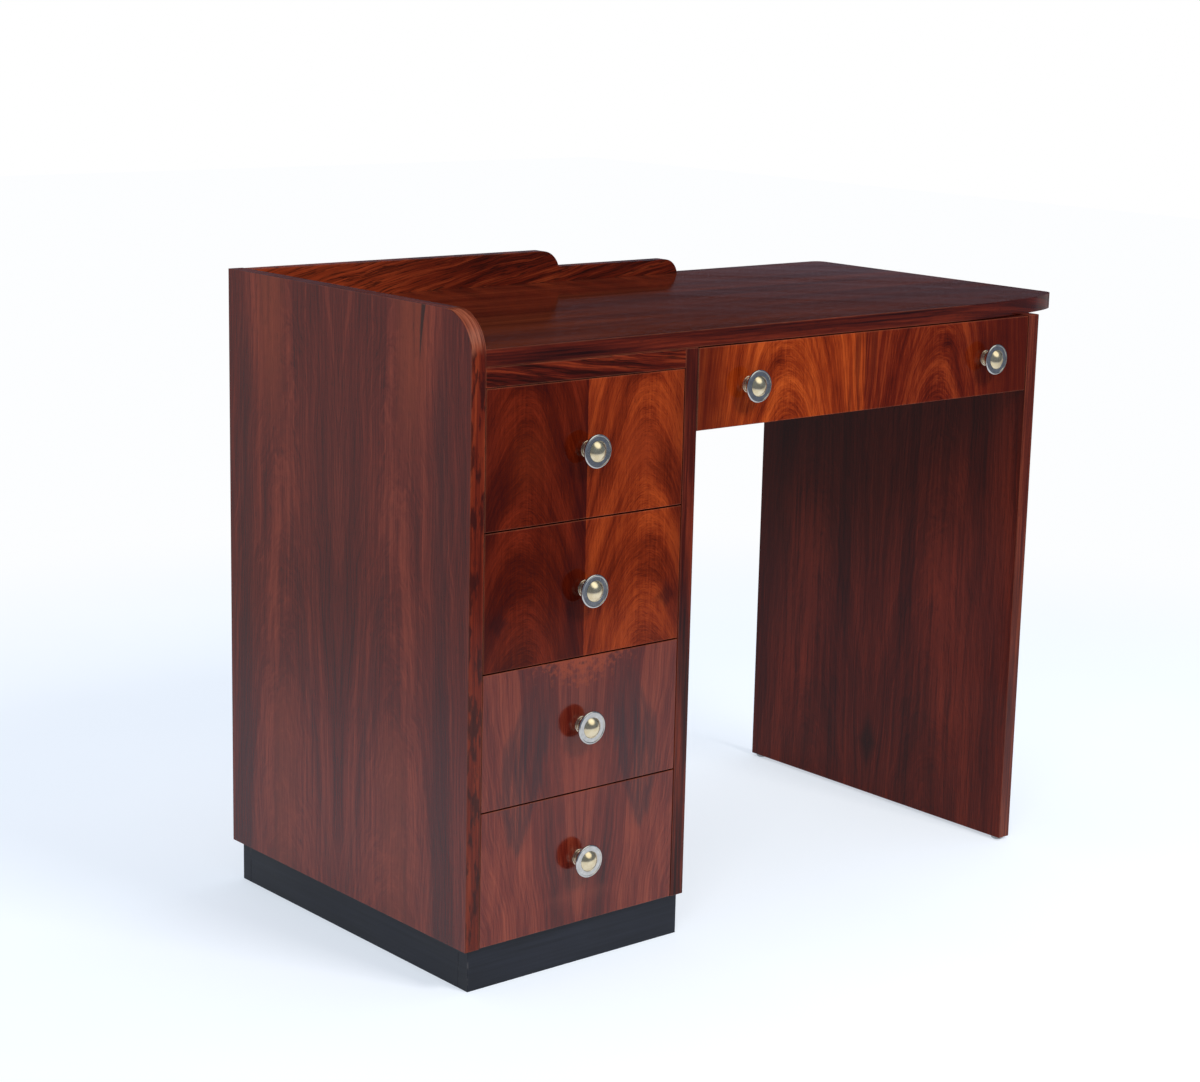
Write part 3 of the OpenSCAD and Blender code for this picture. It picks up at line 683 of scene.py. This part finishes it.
def divider():
    made = skin("divider_panel", "side_veneer", 0.8 * MM)
    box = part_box("divider_panel")
    face = side_veneer("divider_veneer", box, seed=5, palette=INNER_FACE, specular=0.18,
                       marks=inner_marks)
    band = edge_band("divider_edge_band", box, along_x=False, seed=15, palette=DIVIDER_EDGE)
    paint(made, [face, band], facing(0))


def sweep(x1, y0):
    """Quarter ellipse of the top's front right corner, even in the turn of its tangent."""
    points = []
    for i in range(SWEEP_STEPS + 1):
        turn = math.radians(90 * i / SWEEP_STEPS)
        a = math.atan2(SWEEP_W * math.sin(turn), SWEEP_D * math.cos(turn))
        points.append((x1 - SWEEP_W + SWEEP_W * math.sin(a), y0 + SWEEP_D - SWEEP_D * math.cos(a)))
    return points


def desk_top():
    """Its edges are rounded, apart from the left end, which meets the side panel."""
    lo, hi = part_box("desk_top")
    r = BACK_CORNER_R
    outline = [(lo.x, hi.y), (lo.x, lo.y), *sweep(hi.x, lo.y),
               *arc(hi.x - r, hi.y - r, r, 0, 90, 16)]
    bm = prism(outline, 2, lo.z, hi.z)
    rounded(bm, 2.2 * MM, segments=4,
            wanted=lambda edge: any(v.co.x > lo.x for v in edge.verts))
    made = piece("desk_top_finished", to_mesh(bm, "desk_top"), "case", "top_veneer", "desk_top")
    band = edge_band("top_edge_band", (lo, hi), along_x=True, seed=17, palette=TOP_EDGE)
    paint(made, [top_veneer((lo, hi)), band], facing(2, 0.9))


def upstand():
    """Two steps, each with a round end; the high one's arc stops where it meets the low one."""
    lo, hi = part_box("upstand")
    low_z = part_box("desk_top")[1].z + STEP_H
    high_x = lo.x + HIGH_LEN
    meet = math.degrees(math.asin((low_z - hi.z + HIGH_CORNER_R) / HIGH_CORNER_R))
    outline = [(lo.x, lo.z), (hi.x, lo.z),
               *arc(hi.x - LOW_CORNER_R, low_z - LOW_CORNER_R, LOW_CORNER_R, 0, 90, 16),
               *arc(high_x - HIGH_CORNER_R, hi.z - HIGH_CORNER_R, HIGH_CORNER_R, meet, 90, 16),
               (lo.x, hi.z)]
    bm = prism(outline, 1, lo.y, hi.y)
    rounded(bm, 1.2 * MM)
    made = piece("upstand_finished", to_mesh(bm, "upstand"), "case", "upstand_veneer", "upstand")
    cover(made, streaked_veneer("upstand_veneer", (lo, hi), seed=51, palette=UPSTAND,
                                slant=-0.20, glow=0.8))


def rail():
    made = skin("top_rail", "flame_veneer", 0.6 * MM)
    cover(made, streaked_veneer("rail_veneer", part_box("top_rail"), seed=55, palette=RAIL,
                                slant=0.12))


def back_rail():
    made = skin("frieze_back_rail", "side_veneer", 0.6 * MM)
    cover(made, edge_band("back_rail_veneer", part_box("frieze_back_rail"), along_x=True, seed=19,
                          palette=BACK_RAIL))


def plinth():
    for side in ("front", "back", "left", "right"):
        node = "plinth_" + side
        made = skin(node, "black_lacquer", 0.8 * MM)
        cover(made, black_stain(node + "_stain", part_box(node)))


# ---- Drawers ----


# Faces of a knob nearer to the drawer than this are its stem and foot.
STEM_OUT = 15 * MM

# How far out the cap sits in the knob's disc, in millimetres, as the profiles are.
CAP_SEAT = 17.5

TURN_STEPS = 96


def lathe(profile, x, y, z):
    """Turns a profile of (radius, distance from the drawer face) about an axis along -Y."""
    bm = bmesh.new()
    rings = []
    for radius, out in profile:
        if radius == 0:
            rings.append([bm.verts.new((x, y - out, z))])
            continue
        turns = [2 * math.pi * i / TURN_STEPS for i in range(TURN_STEPS)]
        rings.append([bm.verts.new((x + radius * math.cos(t), y - out, z + radius * math.sin(t)))
                      for t in turns])
    for a, b in zip(rings, rings[1:]):
        for i in range(TURN_STEPS):
            j = (i + 1) % TURN_STEPS
            corners = [a[i % len(a)], a[j % len(a)], b[j % len(b)], b[i % len(b)]]
            bm.faces.new(list(dict.fromkeys(corners)))
    return bm


def knob_profile():
    """Stepped foot with a bead, waisted stem, and a disc with a rounded rim and sunk ring."""
    mm = [(0, 0), (10.4, 0), (10.4, 1.0), (10.2, 1.3), (9.4, 1.7)]
    mm += arc(8.2, 2.9, 1.3, -70, 70, 8)
    mm += [(7.7, 4.3), (7.45, 5.5), (7.4, 7.0), (7.55, 9.0), (8.0, 11.0), (8.9, 12.9),
           (10.6, 14.4), (13.4, 15.4), (16.9, 16.2)]
    mm += arc(18.2, 18.2, 1.8, -80, 90, 12)
    mm += [(17.75, 19.9), (17.5, 19.45), (17.2, 19.4), (12.5, 19.4), (12.3, 19.2),
           (12.3, CAP_SEAT), (0, CAP_SEAT)]
    return [(r * MM, d * MM) for r, d in mm]


def cap_profile():
    """Domed cap, from its seat in the disc's pocket to the top of the dome."""
    foot, radius, rise = 19.4, 12.2, 5.6
    sphere = (radius ** 2 + rise ** 2) / (2 * rise)
    half = math.degrees(math.asin(radius / sphere))
    dome = arc(0, foot + rise - sphere, sphere, 90 - half, 90, 20)[:-1]
    mm = [(0, CAP_SEAT), (radius, CAP_SEAT), *dome, (0, foot + rise)]
    return [(r * MM, d * MM) for r, d in mm]


def knob_places(node):
    """Middles of the knobs in a node: one, or in a wide node one at each end."""
    lo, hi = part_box(node)
    z = (lo.z + hi.z) / 2
    r = (hi.z - lo.z) / 2
    if hi.x - lo.x < 3 * r:
        return [((lo.x + hi.x) / 2, z)]
    return [(lo.x + r, z), (hi.x - r, z)]


def turned(node, slot, profile, materials):
    """The turned pieces of one node, lathed again and joined in one mesh. The first material is
    for the disc or cap, and the last for the stem and foot."""
    face_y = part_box("top_rail")[0].y
    last = len(materials) - 1
    whole = bmesh.new()
    for x, z in knob_places(node):
        part = lathe(profile, x, face_y, z)
        mesh = bpy.data.meshes.new("part")
        part.to_mesh(mesh)
        part.free()
        whole.from_mesh(mesh)
        bpy.data.meshes.remove(mesh)
    made = piece(node + "_turned", to_mesh(whole, node), body_of(node), slot, node)
    paint(made, materials, lambda normal, middle: 0 if middle.y < face_y - STEM_OUT else last)


def front_edges(node):
    """A drawer front's outer arrises: those that lie in its front face."""
    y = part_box(node)[0].y
    return lambda edge: all(abs(v.co.y - y) < FLUSH for v in edge.verts)


def front_rule(box):
    """A paint rule for a drawer front: 0 for its face, 1 for its back and ends, and 2 for its
    top, its underside and the rounded arrises."""
    ends_y = box[0].y + 2 * MM

    def rule(normal, middle):
        if normal.y < -0.5:
            return 0
        end = middle.y > ends_y and abs(normal.z) < 0.5
        return 1 if normal.y > 0.5 or end else 2

    return rule


def drawer_front(drawer, look):
    node = drawer + "_front"
    made = skin(node, slot_of(node), 0.8 * MM, front_edges(node))
    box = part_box(node)
    back = plain_wood(node + "_inside", box, axis=0, seed=61, palette=FRONT_BACK)
    edge = edge_band(node + "_edge", box, along_x=True, seed=63, palette=FRONT_EDGE)
    paint(made, [look(node, box), back, edge], front_rule(box))


def upper_look(node, box):
    """Dark on the left of the joint and orange on its right, in round arches. The halves are one
    veneer: the left is in painted shade and the right in painted light, for the light the figure
    catches.
    """
    seam = (box[0].x + box[1].x) / 2
    return matched_veneer(node + "_veneer", box, seam, apex=92 * MM, curve=22.0, seed=71,
                          left=UPPER_LEFT_SHADED, right=UPPER_RIGHT_LIT, marks=upper_marks)


def lower_look(node, box):
    """Brick red and nearly straight-grained, and glossier than the others."""
    seam = (box[0].x + box[1].x) / 2
    return matched_veneer(node + "_veneer", box, seam, apex=220 * MM, curve=24.0, seed=81,
                          left=LOWER, right=LOWER, marks=lower_marks, grain=0.32, specular=0.50)


def frieze_look(node, box):
    """Bright orange on the left of the joint and a deeper red on its right."""
    seam = (box[0].x + box[1].x) / 2 - 12 * MM
    return matched_veneer(node + "_veneer", box, seam, apex=134 * MM, curve=24.0, seed=83,
                          left=FRIEZE_LEFT, right=FRIEZE_RIGHT, marks=frieze_marks)


def drawer_box(drawer):
    """The drawer's sides, back and bottom, in bare wood."""
    for part, axis in (("left_side", 1), ("right_side", 1), ("back", 0), ("bottom", 0)):
        node = f"{drawer}_{part}"
        made = skin(node, slot_of(node), 0.5 * MM)
        palette = BOX_BOTTOM if part == "bottom" else BOX_SIDES
        cover(made, plain_wood(node + "_wood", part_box(node), axis, seed=101, palette=palette))


def drawers(ring, stem, dome, steel):
    looks = {"drawer_1": upper_look, "drawer_2": upper_look, "drawer_3": lower_look,
             "drawer_4": lower_look, "frieze_drawer": frieze_look}
    for drawer, look in looks.items():
        many = "s" if drawer == "frieze_drawer" else ""
        drawer_front(drawer, look)
        drawer_box(drawer)
        turned(f"{drawer}_knob{many}", "nickel", knob_profile(), [ring, stem])
        turned(f"{drawer}_knob_cap{many}", "cap_nickel", cap_profile(), [dome])
        coat(f"{drawer}_knob_screw{many}", steel)


def coat(node, material):
    """A CAD node that stays, with a better material, and its seams closed for shading."""
    made = frame["nodes"][node]
    made.data.materials.clear()
    made.data.materials.append(material)
    weld = made.modifiers.new("weld", "WELD")
    weld.merge_threshold = WELD


def inner_parts(steel):
    """Runners, cleats, blocks, boards and fasteners inside the case."""
    for node, axis in (("pedestal_runners", 1), ("frieze_runners", 1), ("top_cleats", 1),
                       ("plinth_corner_blocks", 2), ("pedestal_bottom", 0)):
        made = skin(node, slot_of(node), 0.5 * MM)
        cover(made, plain_wood(node + "_wood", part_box(node), axis, seed=111, palette=RUNNERS))
    made = skin("pedestal_back", "plywood", 0.6 * MM)
    cover(made, plain_wood("back_plywood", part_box("pedestal_back"), axis=2, seed=113,
                           palette=PLYWOOD))
    for node in ("runner_screws", "cleat_screws", "panel_glides"):
        coat(node, steel)


# ---- Stage ----


BLACK = (0.0, 0.0, 0.0)
WHITE = (1.0, 1.0, 1.0)
DIM_ROOM = (0.020, 0.010, 0.007)
DIM_HORIZON = (0.20, 0.22, 0.29)
FRONT_ROOM = (0.15, 0.18, 0.23)
WINDOW = (1.15, 1.17, 1.10)
CAMERA_AT = (-2.1839, -2.4374, 1.1435)
CAMERA_TURNS = (40.242, 12.296, 1.298)
LENS_MM = 76.52
FILM_MM = 36


def aimed(location, target):
    """Rotation that looks from location to target along -Z."""
    return (Vector(target) - Vector(location)).to_track_quat("-Z", "Y").to_euler()


def softbox(name, location, target, width, height, power, colour):
    """A soft lamp that lights the desk but isn't mirrored in it."""
    light = bpy.data.lights.new(name, "AREA")
    light.shape = "RECTANGLE"
    light.size = width
    light.size_y = height
    light.energy = power
    light.color = colour
    made = bpy.data.objects.new(name, light)
    made.location = location
    made.rotation_euler = aimed(location, target)
    made.visible_glossy = False
    bpy.context.scene.collection.objects.link(made)


def lights():
    middle = (0.0, 0.0, 0.45)
    softbox("key", (0.4, -2.7, 2.9), middle, width=1.0, height=0.9, power=80,
            colour=(1.0, 0.98, 0.95))
    softbox("overhead", (0.2, 0.3, 3.3), middle, width=3.2, height=2.6, power=40,
            colour=(0.97, 0.98, 1.0))
    softbox("rim", (-2.5, -2.0, 2.3), (-0.4, -0.2, 0.5), width=0.8, height=0.8, power=22,
            colour=(1.0, 0.98, 0.96))


def world():
    """White to the camera. It lights the desk softly from all sides, and mirrored it is a dim
    room, paler near the horizon and in front of the desk, with one large soft window."""
    made = bpy.data.worlds.new("studio")
    bpy.context.scene.world = made
    g = Graph(made, "Generated")
    path = g.node("ShaderNodeLightPath")
    sky = ((0.44, 0.53, 0.71), (0.44, 0.50, 0.64), (0.32, 0.37, 0.47))
    soft = g.grade(g.z, (0.0, 0.3, 1.0), sky)
    room = g.grade(g.z, (0.094, 0.1045), (DIM_HORIZON, DIM_ROOM))
    room = g.mix(g.step(g.y, 0.15, -0.35), room, FRONT_ROOM)
    towards_window = g.x * 0.25 + g.y * -0.67 + g.z * 0.69
    room = g.mix(g.step(towards_window, 0.84, 0.95), room, WINDOW)
    light = g.mix(path.outputs["Is Glossy Ray"], soft, room)
    light = g.mix(path.outputs["Is Camera Ray"], light, WHITE)
    g.feed(g.tree.nodes["Background"].inputs["Color"], light)


def floor_paper():
    """Pale paper that also glows: white far off, with the desk's soft shadow near it. Mirrored
    it dims away from the desk, as if the room's lamps lit only the desk's surroundings."""
    g = material_graph("floor_paper")
    distance = (g.x * g.x + g.y * g.y) ** 0.5
    far = g.step(distance, 0.9, 2.2)
    mirrored = Value(g, g.node("ShaderNodeLightPath").outputs["Is Glossy Ray"])
    around = g.step(distance, 0.3, 2.4) * 0.32 + 0.25
    front = g.step(g.y, -1.15, -1.75)
    back_right = g.step(g.x, 0.9, 1.8) * g.step(g.y, 0.5, 1.3)
    dimmed = g.most(g.most(front * 0.82, back_right * 0.85), around)
    shown = 1.0 - mirrored * dimmed
    glow = g.mix(far, (0.85, 0.925, 1.0), (0.98, 0.99, 1.0))
    glow = g.mix(mirrored * front, glow, (0.74, 0.86, 1.12))
    cloud = g.noise(g.x * 2.2, g.y * 2.2, 5, detail=3.0)
    paper = g.grade(cloud, (0.3, 0.7), ((0.86, 0.88, 0.90), (0.90, 0.915, 0.93)))
    lit = g.mix((1.0 - far) * 0.55 * shown, BLACK, paper)
    return g.finish(lit, cloud * 0.1 + 0.8, cloud, 0.02 * MM, Specular_IOR_Level=0.0,
                    Emission_Color=glow, Emission_Strength=(far * 0.43 + 0.57) * shown)


def floor():
    mesh = bpy.data.meshes.new("floor")
    corners = [(-9.0, -7.0, 0), (9.0, -7.0, 0), (9.0, 11.0, 0), (-9.0, 11.0, 0)]
    mesh.from_pydata(corners, [], [(0, 1, 2, 3)])
    mesh.materials.append(floor_paper())
    made = bpy.data.objects.new("floor", mesh)
    bpy.context.scene.collection.objects.link(made)


def camera():
    """At the height of a standing photographer's chest, left of the desk and looking down."""
    yaw, pitch, roll = [math.radians(turn) for turn in CAMERA_TURNS]
    ahead = Vector((math.sin(yaw) * math.cos(pitch), math.cos(yaw) * math.cos(pitch),
                    -math.sin(pitch)))
    level = Vector((math.cos(yaw), -math.sin(yaw), 0))
    above = level.cross(ahead)
    right = level * math.cos(roll) + above * math.sin(roll)
    up = above * math.cos(roll) - level * math.sin(roll)
    data = bpy.data.cameras.new("camera")
    data.sensor_width = FILM_MM
    data.lens = LENS_MM
    made = bpy.data.objects.new("camera", data)
    made.matrix_world = Matrix((right, up, -ahead)).transposed().to_4x4()
    made.location = CAMERA_AT
    bpy.context.scene.collection.objects.link(made)
    bpy.context.scene.camera = made


def main():
    left_panel()
    right_panel()
    divider()
    desk_top()
    upstand()
    rail()
    back_rail()
    plinth()
    steel = plated("plain_steel", (0.36, 0.36, 0.36), (0.52, 0.52, 0.52), roughness=0.35, seed=121)
    ring = plated("knob_nickel", (0.60, 0.58, 0.55), (0.74, 0.72, 0.69), roughness=0.10, seed=123)
    stem = plated("stem_nickel", (0.72, 0.60, 0.44), (0.86, 0.76, 0.60), roughness=0.22, seed=127)
    dome = plated("cap_nickel", (0.86, 0.70, 0.44), (0.98, 0.84, 0.58), roughness=0.20, seed=125)
    drawers(ring, stem, dome, steel)
    inner_parts(steel)
    floor()
    lights()
    world()
    camera()
    bpy.context.scene.view_settings.view_transform = "Standard"


main()
